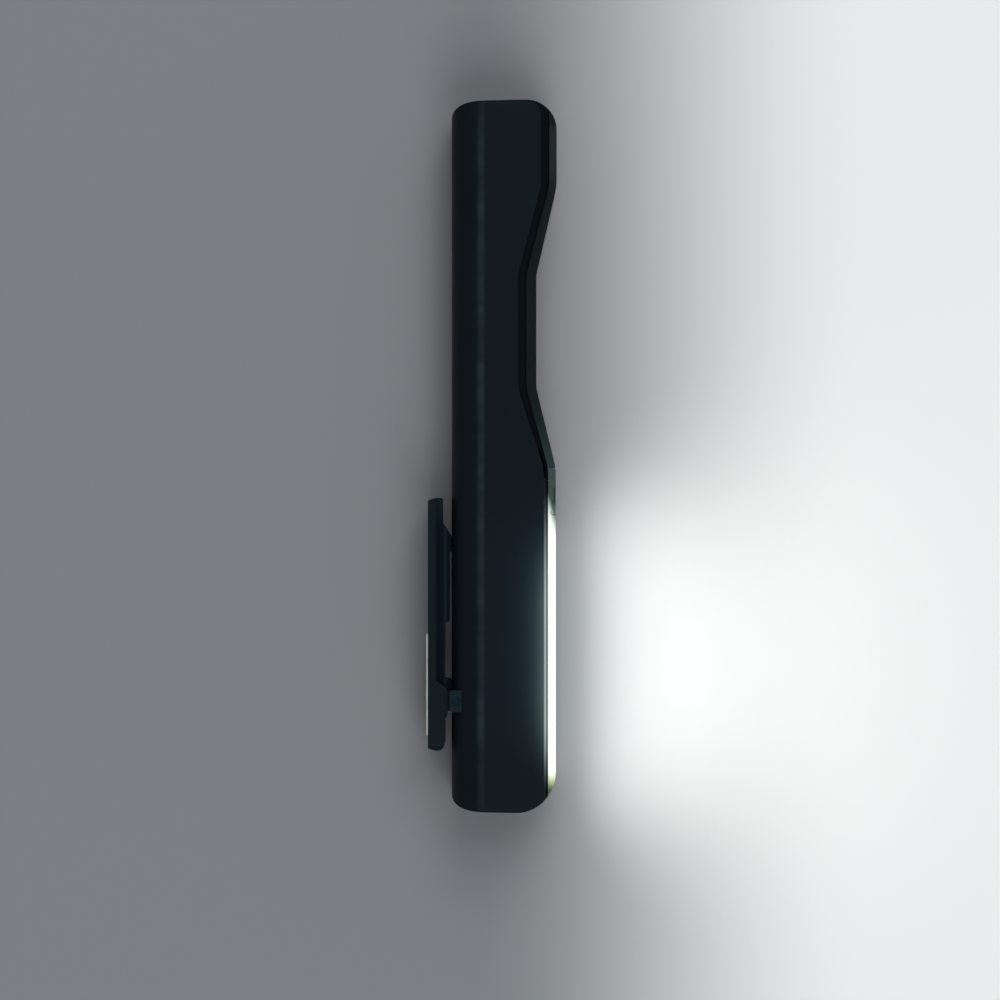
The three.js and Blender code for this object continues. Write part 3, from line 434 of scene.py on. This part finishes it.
def lens_plastic():
    """Clear ends, and a frosted stretch that the light strip fills with light."""
    m = Material("lens_plastic")
    y = m.axis("Y")
    slant = 3.3
    from_seat = m.math("SUBTRACT", m.axis("X"), LENS_LOW.x * MM)
    slanted = m.math("ADD", y, m.math("MULTIPLY", from_seat, slant))
    upper = m.math(
        "ADD",
        m.ramp_mm(slanted, LIT_FROM + 8.5, LIT_FROM + 2.1, 0.0, 0.8),
        m.ramp_mm(y, LIT_FROM + 2.5, LIT_FROM - 4, 0.0, 0.2),
    )
    lower = m.ramp_mm(y, LIT_TO - 5.2, LIT_TO + 0.3)
    outline = pocket_outline(m)
    lit = m.product(upper, lower, m.ramp(outline, 0.0, 1.0, 1.0, 0.5))
    frost = m.ramp(m.noise(1.3, 4), 0.3, 0.7, 0.94, 1.0)
    strip = m.product(m.ramp_mm(m.away("Z", MIDDLE), 10.5, 2.5, 0.4, 0.92), frost)
    wall = m.product(m.sideways(0.3, 0.8), m.ramp_mm(from_seat, -0.1, 0.4, 0.48, 0.97))
    low_end = m.ramp_mm(y, LIT_TO + 0.5, LIT_TO - 3.5)
    clear = m.mix(frost, linear(80, 100, 91), linear(102, 123, 114))
    marked = m.mix(outline, clear, linear(44, 62, 57))
    m.set(
        Base_Color=m.mix(lit, marked, linear(152, 158, 152)),
        Roughness=m.ramp(lit, 0.0, 1.0, 0.26, 0.5),
        Transmission_Weight=m.ramp(lit, 0.0, 0.6, 0.7, 0.0),
        IOR=1.49,
        Specular_IOR_Level=0.25,
        Emission_Color=m.mix(low_end, linear(246, 255, 250), linear(232, 246, 168)),
        Emission_Strength=m.product(lit, m.math("MAXIMUM", strip, wall)),
    )
    m.bump(m.noise(0.4, 3), 0.004)
    return m


def tray_plastic():
    """White reflector inside; its flange is painted dark as shade in the gap beside the lens, and shows as
    a thin line, lit like the rim.
    """
    m = Material("white_plastic")
    mottle = m.noise(2.5, 3)
    inside = m.stretch(TRAY_HIGH.y - 0.2, TRAY_HIGH.y - 0.6, TRAY_LOW.y + 1.6, TRAY_LOW.y + 1.2)
    sides = m.ramp_mm(m.away("Z", MIDDLE), 11.6, 12.0)
    flange = m.math("MAXIMUM", sides, m.ramp(inside, 1.0, 0.0))
    above_rim = m.ramp_mm(m.axis("X"), RIM, RIM + 0.35, 0.2, 1.0)
    white = m.mix(mottle, linear(196, 204, 196), linear(222, 226, 220))
    # Painted shade: the flange takes a dark colour for the shade in the gap beside the lens.
    painted_shade = m.mix(mottle, linear(16, 24, 28), linear(24, 33, 37))
    glow = m.ramp(flange, 0.0, 1.0, TRAY_GLOW, FLANGE_GLOW)
    m.set(
        Base_Color=m.mix(flange, white, painted_shade),
        Roughness=m.ramp(mottle, 0.3, 0.7, 0.32, 0.42),
        Specular_IOR_Level=0.1,
        Emission_Color=linear(228, 250, 244),
        Emission_Strength=m.product(light_leak(m), above_rim, glow),
    )
    m.bump(m.noise(0.3, 2), 0.006)
    return m


def phosphor():
    """Yellow silicone over many small chips, lit, and dimmer and yellower at its two ends."""
    m = Material("phosphor")
    chips = m.cells(CHIP_SPACING)
    between = m.ramp(chips, 0.15, 0.45)
    inside = m.stretch(LIT_FROM, LIT_FROM - 5, LIT_TO + 5, LIT_TO)
    chip_glow = m.ramp(between, 0.0, 1.0, 3.5, 2.2)
    end_glow = m.ramp(inside, 0.0, 1.0, 0.12, 1.0)
    m.set(
        Base_Color=m.mix(between, linear(250, 226, 120), linear(240, 206, 92)),
        Roughness=0.5,
        Emission_Color=m.mix(inside, linear(236, 240, 160), linear(255, 252, 238)),
        Emission_Strength=m.product(chip_glow, end_glow),
    )
    m.bump(chips, 0.05)
    return m


# Inside of the lamp
def cell_wrap():
    """Blue shrink sleeve with fine wrinkles, and bare metal at the cell's upper end."""
    m = Material("cell_can")
    wrinkle = m.noise(1.6, 3, (1, 0.2, 1))
    bare = m.ramp_mm(m.axis("Y"), CELL_HIGH.y - 2.8, CELL_HIGH.y - 2.4)
    sleeve = m.mix(wrinkle, linear(38, 88, 160), linear(52, 104, 178))
    m.set(
        Base_Color=m.mix(bare, sleeve, linear(196, 198, 198)),
        Roughness=m.ramp(wrinkle, 0.3, 0.7, 0.24, 0.36),
    )
    m.bump(wrinkle, 0.02)
    return m


finish = {
    "housing_plastic": housing_plastic(),
    "cover_plastic": cover_plastic(),
    "clip_plastic": clip_plastic(),
    "gasket_rubber": gasket_rubber(),
    "button_rubber": rubber("button_rubber", linear(20, 27, 30), linear(29, 36, 39)),
    "magnet_plate": magnet_plate(),
    "pin_steel": metal("pin_steel", linear(21, 33, 40), linear(28, 40, 46), 0.42, EVEN),
    "screw_steel": metal("screw_steel", linear(168, 170, 172), linear(120, 121, 122), 0.3, EVEN),
    "lens_plastic": lens_plastic(),
    "white_plastic": tray_plastic(),
    "phosphor": phosphor(),
    "white_board": circuit("white_board", linear(224, 226, 222), linear(206, 200, 184)),
    "aluminium_sheet": metal("aluminium_sheet", linear(196, 198, 202), linear(160, 163, 168), 0.38),
    "cell_can": cell_wrap(),
    "nickel_plate": metal("nickel_plate", linear(202, 202, 194), linear(168, 166, 156), 0.24),
    "circuit_board": circuit("circuit_board", linear(24, 82, 50), linear(44, 112, 70)),
    "chip_plastic": moulded("chip_plastic", linear(20, 20, 22), linear(44, 44, 46), 0.5, 0.15, 0.006),
    "wire_red": rubber("wire_red", linear(150, 24, 20), linear(176, 48, 42)),
    "wire_black": rubber("wire_black", linear(16, 16, 16), linear(34, 34, 34)),
}

slot_of = {p["node"]: p["material_slot"] for p in frame["record"]["subparts"]}
for name, node in nodes.items():
    node.data.materials.clear()
    node.data.materials.append(finish[slot_of[name]].material)


# Rounded edges on the moulded pieces, in millimetres, and the angles that tell flat from sharp
FLAT_ANGLE = math.radians(0.4)
SHARP_ANGLE = math.radians(32)
WELD_GAP = 0.002
EDGE_ROUNDS = {
    "rear_housing": 0.3,
    "front_cover": 0.25,
    "lens": 0.2,
    "clip_arm": 0.25,
    "clip_magnet": 0.15,
    "port_flap": 0.2,
}


def round_edges(node, width_mm):
    """Joins the facets of flat faces, then bevels every sharp edge."""
    weld = node.modifiers.new("weld", "WELD")
    weld.merge_threshold = WELD_GAP * MM
    flat = node.modifiers.new("flat", "DECIMATE")
    flat.decimate_type = "DISSOLVE"
    flat.angle_limit = FLAT_ANGLE
    edge = node.modifiers.new("edge", "BEVEL")
    edge.width = width_mm * MM
    edge.segments = 2
    edge.limit_method = "ANGLE"
    edge.angle_limit = SHARP_ANGLE
    edge.miter_outer = "MITER_ARC"
    edge.use_clamp_overlap = True
    edge.harden_normals = False


for name, width in EDGE_ROUNDS.items():
    round_edges(nodes[name], width)


# Torsion spring of the clip, between the housing and the clip, which winds up as the clip opens; here it is
# built in one shape only
def tube(name, points, radius, sides):
    """A round wire along a route of points, closed at both ends."""
    mesh = bmesh.new()
    rings = []
    side_way = Vector((0, 0, 1))
    turns = [2 * math.pi * k / sides for k in range(sides)]
    for i, point in enumerate(points):
        along = (points[min(i + 1, len(points) - 1)] - points[max(i - 1, 0)]).normalized()
        across = (side_way - along * side_way.dot(along)).normalized()
        third = along.cross(across)
        ring = []
        for a in turns:
            outward = across * math.cos(a) + third * math.sin(a)
            ring.append(mesh.verts.new(point + outward * radius))
        rings.append(ring)
    for a, b in zip(rings, rings[1:]):
        for k in range(sides):
            n = (k + 1) % sides
            mesh.faces.new((a[k], a[n], b[n], b[k]))
    mesh.faces.new(reversed(rings[0]))
    mesh.faces.new(rings[-1])
    bmesh.ops.recalc_face_normals(mesh, faces=mesh.faces)
    data = bpy.data.meshes.new(name)
    mesh.to_mesh(data)
    mesh.free()
    for polygon in data.polygons:
        polygon.use_smooth = len(polygon.vertices) == 4
    obj = bpy.data.objects.new(name, data)
    scene.collection.objects.link(obj)
    return obj


def clip_spring():
    """A coil round the pin, with a short leg on the housing and a long leg under the clip's plate."""
    coil_radius = 1.7
    wire_width = 0.6
    full_turns = 6
    pitch = 1.1
    short_leg = 2.3
    floor_gap = 0.65
    long_leg = 8.0
    plate_gap = 4.3
    steps_a_turn = 20
    wire_sides = 8

    lean = math.asin(plate_gap / math.hypot(coil_radius, long_leg)) - math.atan2(coil_radius, long_leg)
    turn = 2 * math.pi * full_turns + math.pi - lean
    width = turn / (2 * math.pi) * pitch
    steps = int(turn / (2 * math.pi) * steps_a_turn)
    points = [(PIN.x + coil_radius + floor_gap, PIN.y - short_leg, -width / 2)]
    for i in range(steps + 1):
        a = turn * i / steps
        x = PIN.x + coil_radius * math.cos(a)
        y = PIN.y + coil_radius * math.sin(a)
        z = width * (i / steps - 0.5)
        points.append((x, y, z))
    points.append((x - long_leg * math.sin(lean), y - long_leg * math.cos(lean), z))
    route = [Vector((px, py, pz + MIDDLE)) * MM for px, py, pz in points]
    spring = tube("spring_coil", route, wire_width / 2 * MM, wire_sides)
    spring.data.materials.append(finish["screw_steel"].material)
    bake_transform(spring)
    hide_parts("clip_spring")


clip_spring()


# Floor tones of the painted light and shade, in millimetres from the middle of the lamp
GREY_UP_TO = -7
PALE_FROM = 88
NEAR_UP_TO = 165
FAR_FROM = 600

# Floor, light and camera, in metres, with focal length and sensor in millimetres
FLOOR_SIZE = 24
FLOOR_DROP = 0.0001
FRAME_WIDTH = 0.231
CAMERA_X = -0.00093
CAMERA_Y = -0.0101
FOCAL_LENGTH = 180
SENSOR_WIDTH = 36
BEAM_GAP = 0.00195
BEAM_X = LENS_HIGH.x * MM + BEAM_GAP
BEAM_Y = -0.0475
BEAM_Z = 0.022
BEAM_REACH = 0.0475
SOFT_BOX_X = 0.48
SOFT_BOX_Y = 1.90
SOFT_BOX_Z = 2.85
SKY = (
    (0.0, linear(112, 115, 119)),
    (0.12, (0.5, 0.51, 0.52, 1)),
    (0.45, (0.36, 0.37, 0.385, 1)),
    (1.0, (0.16, 0.18, 0.2, 1)),
)


def floor():
    """Pale floor with painted light and shade: darker on the clip's side of the lamp and palest on its lit
    side.
    """
    bpy.ops.mesh.primitive_plane_add(size=FLOOR_SIZE, location=(0, 0, -FLOOR_DROP))
    plane = bpy.context.active_object
    plane.name = "floor"
    m = Material("floor")
    far = m.mix(m.noise(90, 3), linear(190, 193, 197), linear(196, 199, 203))
    # Painted light and shade across the floor: grey on the clip's side, pale on the lit side.
    across = m.ramp_mm(m.axis("X"), GREY_UP_TO, PALE_FROM)
    near = m.mix(across, linear(133, 136, 140), linear(249, 250, 250))
    nearness = m.ramp_mm(m.distance(0, 0), FAR_FROM, NEAR_UP_TO)
    m.set(
        Base_Color=m.mix(nearness, far, near),
        Roughness=0.75,
        Specular_IOR_Level=0.2,
    )
    plane.data.materials.append(m.material)


def area(name, place, aim, size, power, colour):
    """A rectangular light that looks from its place to its aim."""
    data = bpy.data.lights.new(name, "AREA")
    data.shape = "RECTANGLE"
    data.size = size[0]
    data.size_y = size[1]
    data.energy = power
    data.color = colour
    lamp = bpy.data.objects.new(name, data)
    scene.collection.objects.link(lamp)
    lamp.location = place
    lamp.rotation_euler = (Vector(aim) - Vector(place)).to_track_quat("-Z", "Y").to_euler()
    return lamp


def soft_boxes():
    """Two large soft lights far off past the lamp's ends, so that little shadow falls beside it."""
    for end in (-1, 1):
        area(
            "soft_box",
            place=(SOFT_BOX_X, SOFT_BOX_Y * end, SOFT_BOX_Z),
            aim=(0, 0, 0),
            size=(1.6, 2.6),
            power=46.0,
            colour=(1.0, 0.99, 0.97),
        )


def beam_light():
    """The lamp's own beam on the floor, from just in front of the lens, seen only by what it lights."""
    beam = area(
        "beam",
        place=(BEAM_X, BEAM_Y, BEAM_Z),
        aim=(BEAM_REACH, BEAM_Y, 0.0),
        size=(0.075, 0.006),
        power=0.01,
        colour=(1.0, 0.99, 0.95),
    )
    beam.data.spread = math.radians(100)
    beam.visible_camera = False
    beam.visible_glossy = False
    beam.visible_transmission = False


def world():
    """A soft dome: dim overhead, brightest a little above the horizon, and meeting the far floor's tone."""
    sky = bpy.data.worlds.new("studio")
    scene.world = sky
    sky.use_nodes = True
    tree = sky.node_tree
    tree.nodes.clear()
    output = tree.nodes.new("ShaderNodeOutputWorld")
    background = tree.nodes.new("ShaderNodeBackground")
    coordinates = tree.nodes.new("ShaderNodeTexCoord")
    split = tree.nodes.new("ShaderNodeSeparateXYZ")
    ramp = tree.nodes.new("ShaderNodeValToRGB")
    stops = ramp.color_ramp.elements
    for height, _ in SKY[1:-1]:
        stops.new(height)
    for stop, (height, colour) in zip(stops, SKY):
        stop.position = height
        stop.color = colour
    tree.links.new(coordinates.outputs["Generated"], split.inputs[0])
    tree.links.new(split.outputs["Z"], ramp.inputs["Fac"])
    tree.links.new(ramp.outputs["Color"], background.inputs["Color"])
    tree.links.new(background.outputs["Background"], output.inputs["Surface"])


def camera():
    """Square above the lamp's flat side, far enough away to show hardly any perspective."""
    data = bpy.data.cameras.new("camera")
    data.sensor_width = SENSOR_WIDTH
    data.lens = FOCAL_LENGTH
    eye = bpy.data.objects.new("camera", data)
    scene.collection.objects.link(eye)
    height = HOUSING_HIGH.z * MM + FRAME_WIDTH * FOCAL_LENGTH / SENSOR_WIDTH
    eye.location = (CAMERA_X, CAMERA_Y, height)
    eye.rotation_euler = (0, 0, 0)
    scene.camera = eye


floor()
world()
camera()
soft_boxes()
beam_light()

scene.view_settings.view_transform = "Standard"
